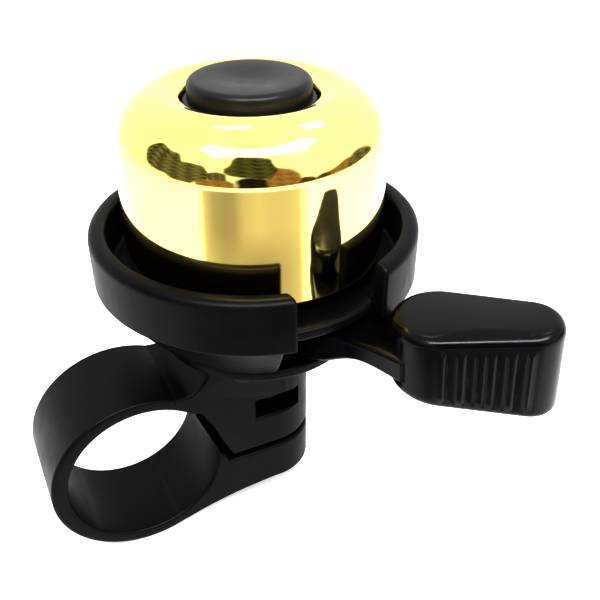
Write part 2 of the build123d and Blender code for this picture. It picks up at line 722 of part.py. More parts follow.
os.makedirs("parts", exist_ok=True)
for sub_part in SUB_PARTS:
    export_step(sub_part(), f"parts/{sub_part.__name__}.step")
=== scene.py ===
from math import asin, atan2, cos, pi, radians, sin, tan

import bmesh
import bpy
from mathutils import Matrix, Vector


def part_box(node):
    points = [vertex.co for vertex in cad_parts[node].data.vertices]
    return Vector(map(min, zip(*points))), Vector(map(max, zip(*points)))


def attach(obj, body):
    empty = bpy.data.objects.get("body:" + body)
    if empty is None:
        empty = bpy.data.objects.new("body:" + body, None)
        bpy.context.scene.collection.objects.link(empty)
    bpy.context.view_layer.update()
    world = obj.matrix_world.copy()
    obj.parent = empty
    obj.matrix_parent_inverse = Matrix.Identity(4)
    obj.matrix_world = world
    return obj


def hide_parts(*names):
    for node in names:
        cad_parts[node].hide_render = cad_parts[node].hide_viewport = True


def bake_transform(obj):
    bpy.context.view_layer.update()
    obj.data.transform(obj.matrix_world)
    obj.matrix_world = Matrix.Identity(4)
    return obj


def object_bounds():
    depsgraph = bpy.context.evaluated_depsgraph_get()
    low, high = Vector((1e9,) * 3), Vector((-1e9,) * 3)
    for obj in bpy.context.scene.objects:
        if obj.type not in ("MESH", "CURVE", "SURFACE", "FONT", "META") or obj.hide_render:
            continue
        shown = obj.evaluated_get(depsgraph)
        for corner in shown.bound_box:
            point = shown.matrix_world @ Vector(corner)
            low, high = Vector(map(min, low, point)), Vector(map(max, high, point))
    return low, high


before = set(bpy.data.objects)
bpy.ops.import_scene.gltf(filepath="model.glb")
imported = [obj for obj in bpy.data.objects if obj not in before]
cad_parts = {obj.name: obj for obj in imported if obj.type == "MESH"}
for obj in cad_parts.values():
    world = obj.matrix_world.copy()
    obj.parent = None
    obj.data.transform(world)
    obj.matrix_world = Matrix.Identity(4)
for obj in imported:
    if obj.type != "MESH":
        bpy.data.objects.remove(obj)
cad_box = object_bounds()

MM = 0.001
NEAR_AXIS = 0.0001  # the smallest radius of a lathed outline

# ---- anchors read from the frame, in millimetres ---------------------------------------


def box_mm(node):
    low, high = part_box(node)
    return low / MM, high / MM


dome_low, dome_high = box_mm("bell_dome")
cup_low, cup_high = box_mm("base_cup")
band_low, band_high = box_mm("clamp_band")
cap_low, cap_high = box_mm("top_cap")

AXIS_X = (dome_low.x + dome_high.x) / 2
DOME_RADIUS = (dome_high.x - dome_low.x) / 2
DOME_EDGE = dome_low.z
DOME_TOP = dome_high.z
CAP_TOP = cap_high.z
SEAT_FLOOR = cap_low.z
CUP_RADIUS = (cup_high.x - cup_low.x) / 2
CUP_RIM = cup_high.z
HUB_BOTTOM = cup_low.z
BAND_RADIUS = -band_low.z
BAND_HALF = band_high.y

# ---- mesh tools ------------------------------------------------------------------------


def rounded(corners, steps=6):
    """A closed outline with each corner (x, y, radius) rounded by an arc."""
    points = []
    count = len(corners)
    for index, (x, y, radius) in enumerate(corners):
        here = Vector((x, y))
        if radius == 0:
            points.append(here)
            continue
        back = (Vector(corners[index - 1][:2]) - here).normalized()
        ahead = (Vector(corners[(index + 1) % count][:2]) - here).normalized()
        angle = back.angle(ahead)
        centre = here + (back + ahead).normalized() * radius / sin(angle / 2)
        start = here + back * radius / tan(angle / 2) - centre
        end = here + ahead * radius / tan(angle / 2) - centre
        first = atan2(start.y, start.x)
        turn = (atan2(end.y, end.x) - first + pi) % (2 * pi) - pi
        for step in range(steps + 1):
            a = first + turn * step / steps
            points.append(centre + radius * Vector((cos(a), sin(a))))
    return points


def arc(centre, radius, start, end, count):
    """Points on a circle from one angle to another, in degrees."""
    points = []
    for step in range(count + 1):
        a = radians(start + (end - start) * step / count)
        points.append(Vector(centre) + radius * Vector((cos(a), sin(a))))
    return points


def smooth_path(knots, count):
    """Points on a Catmull-Rom curve through the knots."""
    pts = [Vector(k) for k in knots]
    pts = [2 * pts[0] - pts[1]] + pts + [2 * pts[-1] - pts[-2]]
    out = []
    for i in range(1, len(pts) - 2):
        a, b, c, d = pts[i - 1 : i + 3]
        for step in range(count):
            t = step / count
            point = 2 * b + (c - a) * t
            point += (2 * a - 5 * b + 4 * c - d) * t ** 2
            point += (3 * b - a - 3 * c + d) * t ** 3
            out.append(0.5 * point)
    return out + [pts[-2]]


def inset(chain, distance, closed=False, side=1):
    """The chain moved sideways; side 1 is to the left of its travel."""
    moved = []
    count = len(chain)
    for i, here in enumerate(chain):
        back = chain[i - 1] if i or closed else None
        ahead = chain[(i + 1) % count] if i < count - 1 or closed else None
        normals = []
        if back is not None:
            d = (here - back).normalized()
            normals.append(Vector((-d.y, d.x)))
        if ahead is not None:
            d = (ahead - here).normalized()
            normals.append(Vector((-d.y, d.x)))
        normal = sum(normals, Vector((0, 0))).normalized()
        stretch = 1 / max(0.5, normal.dot(normals[0]))
        moved.append(here + side * distance * stretch * normal)
    return moved


def arc_steps(rounding, steps):
    """(inset, set-back) pairs round a quarter circle, from the face to the wall."""
    pairs = []
    for step in range(steps + 1):
        a = radians(90 * (1 - step / steps))
        pairs.append((rounding * (1 - cos(a)), rounding * (1 - sin(a))))
    return pairs


class Shell:
    """Collects faces by their corner points and welds them into one mesh."""

    def __init__(self):
        self.keys = {}
        self.points = []
        self.faces = []

    def add(self, point):
        key = tuple(round(c, 4) for c in point)
        if key not in self.keys:
            self.keys[key] = len(self.points)
            self.points.append(tuple(point))
        return self.keys[key]

    def face(self, corners):
        ring = [self.add(c) for c in corners]
        ring = [v for i, v in enumerate(ring) if v != ring[i - 1]]
        if len(set(ring)) > 2 and len(set(ring)) == len(ring):
            self.faces.append(ring)

    def grid(self, rows, wrap_rows=False, wrap_columns=False):
        count = len(rows)
        for i in range(count if wrap_rows else count - 1):
            a, b = rows[i], rows[(i + 1) % count]
            width = len(a)
            for j in range(width if wrap_columns else width - 1):
                k = (j + 1) % width
                self.face((a[j], a[k], b[k], b[j]))

    def build(self, name, fill=True, place=None):
        mesh = bpy.data.meshes.new(name)
        mesh.from_pydata(self.points, [], self.faces)
        bm = bmesh.new()
        bm.from_mesh(mesh)
        if fill:
            open_edges = [e for e in bm.edges if e.is_boundary]
            bmesh.ops.holes_fill(bm, edges=open_edges, sides=0)
        bmesh.ops.recalc_face_normals(bm, faces=bm.faces)
        if place is not None:
            bmesh.ops.transform(bm, matrix=place, verts=bm.verts)
        bm.to_mesh(mesh)
        bm.free()
        piece = bpy.data.objects.new(name, mesh)
        bpy.context.scene.collection.objects.link(piece)
        return piece


def on_axis(radius, angle, z):
    """A point round the dome's axis; angle in radians from +X."""
    return (AXIS_X + radius * cos(angle), radius * sin(angle), z)


def bearing_angle(bearing):
    """A bearing (0 along -Y, 90 along +X) as an angle from +X, in radians."""
    return radians(bearing - 90)


def lathe(name, outline, segments=192):
    """A closed (radius, z) outline turned round the dome's axis."""
    shell = Shell()
    rows = [[on_axis(r, 2 * pi * s / segments, z) for r, z in outline] for s in range(segments)]
    shell.grid(rows, wrap_rows=True, wrap_columns=True)
    return shell.build(name, fill=False)


def split_ring(name, outline, ends, rounding, segments=160, steps=5):
    """A closed outline turned part of the way round, with rounded ends.

    ends(radius) gives the first and last angle at that radius, in radians."""
    stations = []
    for inward, back in arc_steps(rounding, steps):
        loop = inset(outline, inward, closed=True)
        stations.append([(p, back) for p in loop])
    rows = []
    for station in stations:
        rows.append([on_axis(p.x, ends(p.x)[0] + back / p.x, p.y) for p, back in station])
    for s in range(1, segments):
        row = []
        for p in outline:
            first, last = ends(p.x)
            first += rounding / p.x
            last -= rounding / p.x
            row.append(on_axis(p.x, first + (last - first) * s / segments, p.y))
        rows.append(row)
    for station in reversed(stations):
        rows.append([on_axis(p.x, ends(p.x)[1] - back / p.x, p.y) for p, back in station])
    shell = Shell()
    shell.grid(rows, wrap_columns=True)
    return shell.build(name)


def plate(shell, chains, half, rounding, steps=5, closed=False, corner=()):
    """A side view's open chains, extruded to both sides of Y = 0 with rounded edges.

    The chains run round the plate with its material on their left, and
    corner holds any points left between the last chain and the first."""
    front, back = [], []
    for chain in chains:
        stations = [(inset(chain, i, closed), -half + b) for i, b in arc_steps(rounding, steps)]
        stations += [(loop, -y) for loop, y in reversed(stations)]
        rows = [[(p.x, y, p.y) for p in loop] for loop, y in stations]
        shell.grid(rows, wrap_columns=closed)
        front += rows[0]
        back += rows[-1]
    front += [(x, -half, z) for x, z in corner]
    back += [(x, half, z) for x, z in corner]
    shell.face(front)
    shell.face(list(reversed(back)))


def half_round(shell, profile, segments=48):
    """A (radius, z) profile turned through the half circle that faces +X."""
    rows = []
    for s in range(segments + 1):
        a = radians(-90 + 180 * s / segments)
        rows.append([on_axis(r, a, z) for r, z in profile])
    shell.grid(rows)


def apply_modifiers(piece):
    graph = bpy.context.evaluated_depsgraph_get()
    mesh = bpy.data.meshes.new_from_object(piece.evaluated_get(graph))
    piece.modifiers.clear()
    piece.data = mesh


def combine(piece, others, operation):
    """Adds or cuts the other pieces, which are used up."""
    for other in others:
        modifier = piece.modifiers.new("combine", "BOOLEAN")
        modifier.operation = operation
        modifier.solver = "MANIFOLD"
        modifier.object = other
        apply_modifiers(piece)
        bpy.data.objects.remove(other)
    return piece


def finish_piece(piece, material, body, nodes=(), sharp=32, weighted=True):
    """Scale, shading, material, body and the CAD nodes that the piece stands for."""
    piece.data.transform(Matrix.Scale(MM, 4))
    piece.data.materials.clear()
    piece.data.materials.append(material)
    piece.data.polygons.foreach_set("use_smooth", [True] * len(piece.data.polygons))
    piece.data.set_sharp_from_angle(angle=radians(sharp))
    if weighted:
        modifier = piece.modifiers.new("normals", "WEIGHTED_NORMAL")
        modifier.keep_sharp = True
        modifier.weight = 60
    if body:
        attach(piece, body)
    if nodes:
        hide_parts(*nodes)
    return piece


# ---- materials -------------------------------------------------------------------------


class Material:
    """A node material on object coordinates, with a few shorthand calls."""

    def __init__(self, name, colour, metallic, roughness):
        self.material = bpy.data.materials.new(name)
        self.material.use_nodes = True
        self.tree = self.material.node_tree
        self.shader = self.tree.nodes["Principled BSDF"]
        self.shader.inputs["Base Color"].default_value = (*colour, 1)
        self.shader.inputs["Metallic"].default_value = metallic
        self.shader.inputs["Roughness"].default_value = roughness
        self.coordinates = self.tree.nodes.new("ShaderNodeTexCoord").outputs["Object"]

    def link(self, a, b):
        self.tree.links.new(a, b)

    def noise(self, scale, detail=3.0, stretch=(1, 1, 1)):
        mapping = self.tree.nodes.new("ShaderNodeMapping")
        mapping.inputs["Scale"].default_value = stretch
        self.link(self.coordinates, mapping.inputs["Vector"])
        node = self.tree.nodes.new("ShaderNodeTexNoise")
        node.inputs["Scale"].default_value = scale
        node.inputs["Detail"].default_value = detail
        self.link(mapping.outputs["Vector"], node.inputs["Vector"])
        return node.outputs["Fac"]

    def spread(self, value, low, high, start=0.35, end=0.65):
        """The value's middle span stretched to run from low to high."""
        node = self.tree.nodes.new("ShaderNodeMapRange")
        node.inputs["From Min"].default_value = start
        node.inputs["From Max"].default_value = end
        node.inputs["To Min"].default_value = low
        node.inputs["To Max"].default_value = high
        self.link(value, node.inputs["Value"])
        return node.outputs["Result"]

    def blend(self, factor, a, b):
        node = self.tree.nodes.new("ShaderNodeMix")
        node.data_type = "RGBA"
        colours = [s for s in node.inputs if s.type == "RGBA"]
        for socket, value in zip(colours, (a, b)):
            if isinstance(value, tuple):
                socket.default_value = (*value, 1)
            else:
                self.link(value, socket)
        factors = [s for s in node.inputs if s.type == "VALUE" and s.name == "Factor"]
        self.link(factor, factors[0])
        return [s for s in node.outputs if s.type == "RGBA"][0]

    def edges(self, start, end):
        """1 on convex edges, 0 elsewhere."""
        node = self.tree.nodes.new("ShaderNodeNewGeometry")
        return self.spread(node.outputs["Pointiness"], 0, 1, start, end)

    def add(self, a, b):
        node = self.tree.nodes.new("ShaderNodeMath")
        node.operation = "ADD"
        self.link(a, node.inputs[0])
        self.link(b, node.inputs[1])
        return node.outputs[0]

    def bump(self, *layers):
        """Stacked bumps of (height, strength, depth in millimetres)."""
        previous = None
        for height, strength, depth in layers:
            node = self.tree.nodes.new("ShaderNodeBump")
            node.inputs["Strength"].default_value = strength
            node.inputs["Distance"].default_value = depth * MM
            self.link(height, node.inputs["Height"])
            if previous is not None:
                self.link(previous, node.inputs["Normal"])
            previous = node.outputs["Normal"]
        self.link(previous, self.shader.inputs["Normal"])


def moulded_plastic(name, colour, worn, roughness, grain, specular):
    """Black moulding: fine grain, slow unevenness, a little wear on its edges."""
    m = Material(name, colour, 0, roughness)
    m.shader.inputs["Specular IOR Level"].default_value = specular
    patches = m.noise(180, 4)
    fine = m.noise(5200, 2)
    scuffs = m.noise(900, 6, (1, 1, 0.3))
    even = m.spread(patches, roughness - 0.04, roughness + 0.05)
    rubbed = m.spread(scuffs, 0, 0.06, 0.5, 0.75)
    m.link(m.add(even, rubbed), m.shader.inputs["Roughness"])
    paler = tuple(c * 1.5 for c in colour)
    shade = m.blend(m.spread(patches, 0, 1), colour, paler)
    m.link(m.blend(m.edges(0.52, 0.62), shade, worn), m.shader.inputs["Base Color"])
    m.bump((fine, grain, 0.02), (patches, 0.12, 0.05))
    return m.material


def polished_brass():
    """Mirror-bright brass with faint turning rings and a little haze."""
    pale, deep = (0.96, 0.82, 0.32), (0.95, 0.79, 0.28)
    m = Material("polished_brass", deep, 1, 0.05)
    tone = m.noise(60, 3)
    m.link(m.blend(m.spread(tone, 0, 1), pale, deep), m.shader.inputs["Base Color"])
    rings = m.noise(900, 2, (0.05, 0.05, 9))
    haze = m.noise(260, 5)
    m.link(m.add(m.spread(haze, 0.03, 0.07), m.spread(rings, 0, 0.03)), m.shader.inputs["Roughness"])
    m.bump((rings, 0.03, 0.004), (m.noise(120, 1), 0.06, 0.02))
    return m.material


def metal(name, colour, roughness, brushed=(1, 1, 6)):
    """Plain machined or plated metal with fine tool marks."""
    m = Material(name, colour, 1, roughness)
    marks = m.noise(1500, 4, brushed)
    stain = m.noise(300, 4)
    m.link(m.spread(marks, roughness - 0.06, roughness + 0.1), m.shader.inputs["Roughness"])
    stained = tuple(c * 0.72 for c in colour)
    m.link(m.blend(m.spread(stain, 0, 1), colour, stained), m.shader.inputs["Base Color"])
    m.bump((marks, 0.15, 0.01))
    return m.material


def rubber():
    """Dull black rubber with a dusty speckle."""
    clean, dusty = (0.018, 0.018, 0.018), (0.035, 0.034, 0.032)
    m = Material("black_rubber", (0.02, 0.02, 0.02), 0, 0.75)
    speckle = m.noise(4000, 4)
    m.link(m.spread(speckle, 0.65, 0.85), m.shader.inputs["Roughness"])
    m.link(m.blend(m.spread(speckle, 0, 1), clean, dusty), m.shader.inputs["Base Color"])
    m.bump((speckle, 0.3, 0.03))
    return m.material


satin_black = moulded_plastic(
    "satin_black",
    (0.003, 0.003, 0.004),
    worn=(0.012, 0.012, 0.014),
    roughness=0.36,
    grain=0.6,
    specular=0.12,
)
gloss_black = moulded_plastic(
    "gloss_black",
    (0.002, 0.002, 0.003),
    worn=(0.009, 0.009, 0.011),
    roughness=0.18,
    grain=0.2,
    specular=0.21,
)
# The button's black is paler than the other mouldings: painted light, standing in for the light that
# falls on the button's top.
lit_cap_black = moulded_plastic(
    "lit_cap_black",
    (0.012, 0.012, 0.013),
    worn=(0.022, 0.022, 0.024),
    roughness=0.34,
    grain=0.6,
    specular=0.23,
)
brass = polished_brass()
zinc = metal("zinc_steel", (0.62, 0.63, 0.66), 0.28)
black_oxide = metal("black_oxide", (0.035, 0.035, 0.038), 0.35)
turned_steel = metal("turned_steel", (0.56, 0.56, 0.58), 0.22, (1, 1, 12))
spring_steel = metal("spring_steel", (0.34, 0.33, 0.33), 0.30)
plain_brass = metal("plain_brass", (0.72, 0.53, 0.25), 0.30)
black_rubber = rubber()

CAD_MATERIALS = {
    "clamp_nut": zinc,
    "clamp_washer": zinc,
    "clamp_screw": zinc,
    "threaded_insert": plain_brass,
    "base_screws": black_oxide,
    "stop_bumper": black_rubber,
    "thrust_washer": turned_steel,
    "lever_bush": plain_brass,
    "return_spring": spring_steel,
    "centre_spindle": turned_steel,
    "retaining_ring": spring_steel,
    "striker_bracket": zinc,
    "striker_leaf": spring_steel,
    "striker_rivet": plain_brass,
    "striker_weight": plain_brass,
    "lower_isolator": black_rubber,
    "upper_isolator": black_rubber,
    "dome_washer": zinc,
    "dome_screw": zinc,
}
for node, material in CAD_MATERIALS.items():
    for material_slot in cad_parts[node].material_slots:
        material_slot.material = material

# ---- dome and button -------------------------------------------------------------------

DOME_WALL = 1.1
SHOULDER_Z = 44.0
CREST_RADIUS = 11.0
SEAT_RADIUS = 8.7
SEAT_CORNER = 0.4
SEAT_LIP_RADIUS = 0.7
SEAT_LIP_TOP = 50.75
UNDER_LIP_OUT = 0.3
UNDER_LIP_Z = 49.7
SCREW_HOLE_RADIUS = 2.3
RIM_ROLL = 0.5
CAP_RADIUS = 7.85
CAP_DISH = 0.45
CAP_RIM = 0.95
CAP_RIM_LIP = 0.5
CAP_FLANGE = 8.45
CAP_FLANGE_TOP = 50.0
CAP_FLANGE_BOTTOM = 48.3
CAP_HOLLOW_RADIUS = 5.1
CAP_THICKNESS = 1.9
CAP_BEVEL = 0.2


def quarter_ellipse(radius, z, across, rise, count):
    """Points up a dome's shoulder, from the wall to the crest."""
    points = []
    for i in range(count + 1):
        a = pi / 2 * i / count
        points.append(Vector((radius + across * cos(a), z + rise * sin(a))))
    return points


def make_dome():
    """The polished shell, with the sunk seat that holds the button."""
    rise = DOME_TOP - SHOULDER_Z
    across = DOME_RADIUS - CREST_RADIUS
    wall_bottom = DOME_EDGE + RIM_ROLL
    wall_steps = 12
    outer = []
    for i in range(wall_steps):
        z = wall_bottom + (SHOULDER_Z - wall_bottom) * i / wall_steps
        outer.append(Vector((DOME_RADIUS, z)))
    outer += quarter_ellipse(CREST_RADIUS, SHOULDER_Z, across, rise, 48)
    lip_centre = (SEAT_RADIUS + SEAT_LIP_RADIUS, SEAT_LIP_TOP - SEAT_LIP_RADIUS)
    lip = arc(lip_centre, SEAT_LIP_RADIUS, 82, 180, 12)
    under_seat = SEAT_FLOOR - DOME_WALL
    seat = [
        Vector((SEAT_RADIUS, SEAT_FLOOR + SEAT_CORNER)),
        Vector((SEAT_RADIUS - SEAT_CORNER, SEAT_FLOOR)),
        Vector((SCREW_HOLE_RADIUS, SEAT_FLOOR)),
        Vector((SCREW_HOLE_RADIUS, under_seat)),
        Vector((SEAT_RADIUS + DOME_WALL - SEAT_CORNER, under_seat)),
        Vector((SEAT_RADIUS + DOME_WALL, under_seat + SEAT_CORNER)),
        Vector((SEAT_RADIUS + DOME_WALL + UNDER_LIP_OUT, UNDER_LIP_Z)),
    ]
    inner = quarter_ellipse(CREST_RADIUS, SHOULDER_Z, across - DOME_WALL, rise - DOME_WALL, 32)
    inner.reverse()
    half_wall = DOME_WALL / 2
    roll = arc((DOME_RADIUS - half_wall, DOME_EDGE + half_wall), half_wall, 180, 360, 12)
    piece = lathe("dome", outer + lip + seat + inner + roll, 320)
    return finish_piece(piece, brass, "base", ["bell_dome"], 50, weighted=False)


def make_cap():
    """The button: a dished top inside a rounded rim."""
    dish_radius = CAP_RADIUS - CAP_RIM - CAP_RIM_LIP
    dish_steps = 24
    top = []
    for i in range(dish_steps + 1):
        r = dish_radius * i / dish_steps
        sink = CAP_DISH * (0.5 + 0.5 * cos(pi * i / dish_steps))
        top.append(Vector((max(r, NEAR_AXIS), CAP_TOP - sink)))
    edge = arc((CAP_RADIUS - CAP_RIM, CAP_TOP - CAP_RIM), CAP_RIM, 88, 0, 14)
    inside = CAP_RADIUS - 1
    flange = rounded(
        (
            (inside, CAP_FLANGE_TOP, 0),
            (CAP_FLANGE, CAP_FLANGE_TOP, 0.3),
            (CAP_FLANGE, CAP_FLANGE_BOTTOM, 0.2),
            (inside, CAP_FLANGE_BOTTOM, 0),
        ),
        5,
    )
    ceiling = CAP_TOP - CAP_THICKNESS
    skirt = [Vector((CAP_RADIUS, CAP_FLANGE_TOP))]
    skirt += [p for p in flange if p.x > CAP_RADIUS]
    skirt += [
        Vector((CAP_RADIUS, CAP_FLANGE_BOTTOM)),
        Vector((CAP_RADIUS, SEAT_FLOOR + CAP_BEVEL)),
        Vector((CAP_RADIUS - CAP_BEVEL, SEAT_FLOOR)),
        Vector((CAP_HOLLOW_RADIUS + CAP_BEVEL, SEAT_FLOOR)),
        Vector((CAP_HOLLOW_RADIUS, SEAT_FLOOR + CAP_BEVEL)),
        Vector((CAP_HOLLOW_RADIUS, ceiling)),
        Vector((NEAR_AXIS, ceiling)),
    ]
    piece = lathe("cap", top + edge + skirt, 160)
    return finish_piece(piece, lit_cap_black, "base", ["top_cap"], 40)


# ---- cup -------------------------------------------------------------------------------

CUP_INNER = 19.9
CUP_BOTTOM = 26.1
CUP_FLOOR_TOP = 27.7
HUB_TOP_RADIUS = 21.6
HUB_RADIUS = 14.2
HUB_WALL = 1.6
BOWL_LIFT = 0.06
BOWL_POWER = 0.8
BOWL_END_ROUNDING = 0.28
NOTCH_BEARING = 6.3
NOTCH_HALF = 6.2
NOTCH_START = 20.2
COLLAR_OVERLAP = 2.0
COLLAR_END_ROUNDING = 0.55
FLOOR_STEP = 0.05
WINDOW_START = -14.0
WINDOW_END = 64.0
SLEEVE_HOLE = 7.2
BOSS_BEARINGS = (85, 205, 325)
BOSS_RING = 11.2
BOSS_RADIUS = 1.9
BOSS_BEVEL = 0.2
BOSS_LIFT = 0.1
SINK = 0.5  # how far a part runs up into the collar that it is joined to


def notch_ends(radius):
    """The collar's first and last angle beside the lever's notch."""
    middle = bearing_angle(NOTCH_BEARING)
    reach = asin(min(1, NOTCH_HALF / radius))
    return middle + reach, middle + 2 * pi - reach


def window_ends(radius):
    """The bowl's first and last angle beside the window, alike at every radius."""
    return bearing_angle(WINDOW_END), bearing_angle(WINDOW_START) + 2 * pi


def bowl_curve(depth, count=20):
    """The outside of the bowl under the collar, or a line at a depth inside it."""
    rise = CUP_BOTTOM - HUB_BOTTOM
    points = []
    for i in range(count + 1):
        t = i / count
        radius = HUB_RADIUS + (HUB_TOP_RADIUS - HUB_RADIUS) * t ** BOWL_POWER
        points.append(Vector((radius - depth, HUB_BOTTOM + BOWL_LIFT + rise * t)))
    return points


def make_cup():
    """The collar, its floor, the bowl below and the three screw bosses."""
    collar = rounded(
        (
            (NOTCH_START - COLLAR_OVERLAP, CUP_BOTTOM, 0.2),
            (CUP_RADIUS, CUP_BOTTOM, 0.4),
            (CUP_RADIUS, CUP_RIM, 1.15),
            (CUP_INNER, CUP_RIM, 0.7),
            (CUP_INNER, CUP_FLOOR_TOP, 0.8),
            (NOTCH_START - COLLAR_OVERLAP, CUP_FLOOR_TOP, 0.2),
        ),
        8,
    )
    cup = split_ring("cup", collar, notch_ends, COLLAR_END_ROUNDING, 220)
    floor = rounded(
        (
            (SLEEVE_HOLE, CUP_BOTTOM + FLOOR_STEP, 0.3),
            (NOTCH_START, CUP_BOTTOM + FLOOR_STEP, 0.4),
            (NOTCH_START, CUP_FLOOR_TOP - FLOOR_STEP, 0.6),
            (SLEEVE_HOLE, CUP_FLOOR_TOP - FLOOR_STEP, 0.3),
        ),
        4,
    )
    outside = bowl_curve(0)
    inside = bowl_curve(HUB_WALL)
    up = Vector((0, SINK))
    cone = outside + [outside[-1] + up, inside[-1] + up] + inside[::-1]
    bowl = split_ring("cone", cone, window_ends, BOWL_END_ROUNDING, 160)
    parts = [lathe("floor", floor, 200), bowl]
    foot, head = HUB_BOTTOM + BOSS_LIFT, CUP_BOTTOM + SINK
    boss_outline = [
        Vector((NEAR_AXIS, foot)),
        Vector((BOSS_RADIUS - BOSS_BEVEL, foot)),
        Vector((BOSS_RADIUS, foot + BOSS_BEVEL)),
        Vector((BOSS_RADIUS, head)),
        Vector((NEAR_AXIS, head)),
    ]
    for bearing in BOSS_BEARINGS:
        boss = lathe("boss", boss_outline, 40)
        a = bearing_angle(bearing)
        boss.data.transform(Matrix.Translation((BOSS_RING * cos(a), BOSS_RING * sin(a), 0)))
        parts.append(boss)
    combine(cup, parts, "UNION")
    return finish_piece(cup, satin_black, "base", ["base_cup"])


# ---- clamp body, strap and tab ---------------------------------------------------------

BAR_RADIUS = 11.1
ROOT_ANGLE = 66.0
FOOT_ANGLE = 290.0
EDGE = 0.42
SWELL = 0.5
FLANGE_BOTTOM = 15.8
FLANGE_OVERLAP = 0.6
NECK_RADIUS = 7.2
BLOCK_BOTTOM = -1.9
# points of the side view are (x, z) or (x, z, corner radius)
ROOT_FILLET = ((7.15, 11.75), (8.85, 12.65), (10.05, 14.1))
ROOT_TOP_X = 10.6
UNDER_ROOT_ANGLE = 45.5
GAP_TIP_CLEARANCE = 0.4
GAP_BLOCK_SIDE = ((13.2, BLOCK_BOTTOM, 0.35), (8.75, 7.75, 0.5))
GAP_TIP = (4.0, 10.6)
SLOT_HALF = 3.6
SLOT_BOTTOM = 3.6
SLOT_TOP = 7.0
SLOT_FLARE = 0.35
SLOT_STATIONS = ((0, 4.3), (0, -6.8), (SLOT_FLARE, -7.3), (SLOT_FLARE, -9))  # (flare, y)
TAB_TOP = -2.9
TAB_BOTTOM = -9.5
TAB_BELLY = ((9.0, -10.9), (14.0, -10.0), (19.5, TAB_BOTTOM))
TAB_GAP_SIDE = ((12.55, TAB_TOP, 0.5), (7.95, 7.75, 0.35))
TAB_BORE_ANGLE = 42.0
TAB_TIP_CLEARANCE = 0.05
INSIDE_TAB = (8.2, -7.0)
# The tongue is a dark block set back inside the slanted gap, put there so that the gap shows as shade
# and not the floor beyond it.
GAP_SHADE_TONGUE_SIDE = ((12.2, -2.6, 0.2), (12.95, -2.6, 0.3), (8.5, 7.3, 0.2), (8.0, 7.2, 0.2))
GAP_SHADE_TONGUE_HALF = 4.4
GAP_SHADE_TONGUE_EDGE = 0.15
RECESS_RADIUS = 4.7
RECESS_TOP = -5.8
RECESS_BEVEL = 0.4
PASSAGE_RADIUS = 2.5
PASSAGE_BOTTOM = -7.0
PASSAGE_TOP = 0.0
BELOW_TAB = -12.0


def on_bar(radius, angle):
    """A point of the side view round the handlebar's middle; angle in degrees from +X."""
    return Vector((radius * cos(radians(angle)), radius * sin(radians(angle))))


def make_block():
    """The neck block: its left side is the loop's root and the slanted gap."""
    top = FLANGE_BOTTOM + FLANGE_OVERLAP
    root_knots = (on_bar(BAND_RADIUS, ROOT_ANGLE), *ROOT_FILLET, (ROOT_TOP_X, FLANGE_BOTTOM))
    root = smooth_path(root_knots, 8) + [Vector((ROOT_TOP_X, top))]
    root.reverse()
    gap = rounded(((AXIS_X, BLOCK_BOTTOM, 0), *GAP_BLOCK_SIDE, (*GAP_TIP, 0)), 6)[1:-1]
    under = arc((0, 0), BAR_RADIUS, UNDER_ROOT_ANGLE, ROOT_ANGLE, 14)
    lower = [Vector((AXIS_X, BLOCK_BOTTOM))]
    lower += [p for p in gap if p.length > BAR_RADIUS + GAP_TIP_CLEARANCE] + under[2:]
    lower.reverse()
    shell = Shell()
    plate(shell, (root, lower), BAND_HALF, EDGE, corner=[(AXIS_X, top)])
    neck = [(NECK_RADIUS, top)]
    neck += [(NECK_RADIUS - b, BLOCK_BOTTOM + i) for i, b in arc_steps(EDGE, 5)]
    half_round(shell, neck)
    block = shell.build("clamp_block")
    flange = rounded(
        (
            (NEAR_AXIS, FLANGE_BOTTOM, 0),
            (HUB_RADIUS, FLANGE_BOTTOM, 0.4),
            (HUB_RADIUS, HUB_BOTTOM, 0.3),
            (NEAR_AXIS, HUB_BOTTOM, 0),
        ),
        5,
    )
    combine(block, [lathe("flange", flange, 160)], "UNION")
    combine(block, [slot_cutter()], "DIFFERENCE")
    return finish_piece(block, satin_black, "base", ["clamp_body"])


def slot_cutter():
    """The captive nut's slot, flared a little at its mouth."""
    shell = Shell()
    rows = []
    for flare, y in SLOT_STATIONS:
        left, right = AXIS_X - SLOT_HALF - flare, AXIS_X + SLOT_HALF + flare
        low, high = SLOT_BOTTOM - flare, SLOT_TOP + flare
        rows.append([(left, y, low), (right, y, low), (right, y, high), (left, y, high)])
    shell.grid(rows, wrap_columns=True)
    return shell.build("slot")


def make_strap():
    """The loop, from its root over the top and down round to the tab."""
    section = rounded(
        (
            (BAR_RADIUS, -BAND_HALF, EDGE),
            (BAND_RADIUS, -BAND_HALF, EDGE),
            (BAND_RADIUS, BAND_HALF, EDGE),
            (BAR_RADIUS, BAND_HALF, EDGE),
        ),
        5,
    )
    shell = Shell()
    count = 150
    rows = []
    for s in range(count + 1):
        a = ROOT_ANGLE + (FOOT_ANGLE - ROOT_ANGLE) * s / count
        swell = 1 + SWELL * sin(pi * s / count) ** 2 / (BAND_RADIUS - BAR_RADIUS)
        row = [on_bar(BAR_RADIUS + (p.x - BAR_RADIUS) * swell, a) for p in section]
        rows.append([(q.x, p.y, q.y) for q, p in zip(row, section)])
    shell.grid(rows, wrap_columns=True)
    strap = shell.build("clamp_strap")
    return finish_piece(strap, satin_black, None, ["clamp_band"])


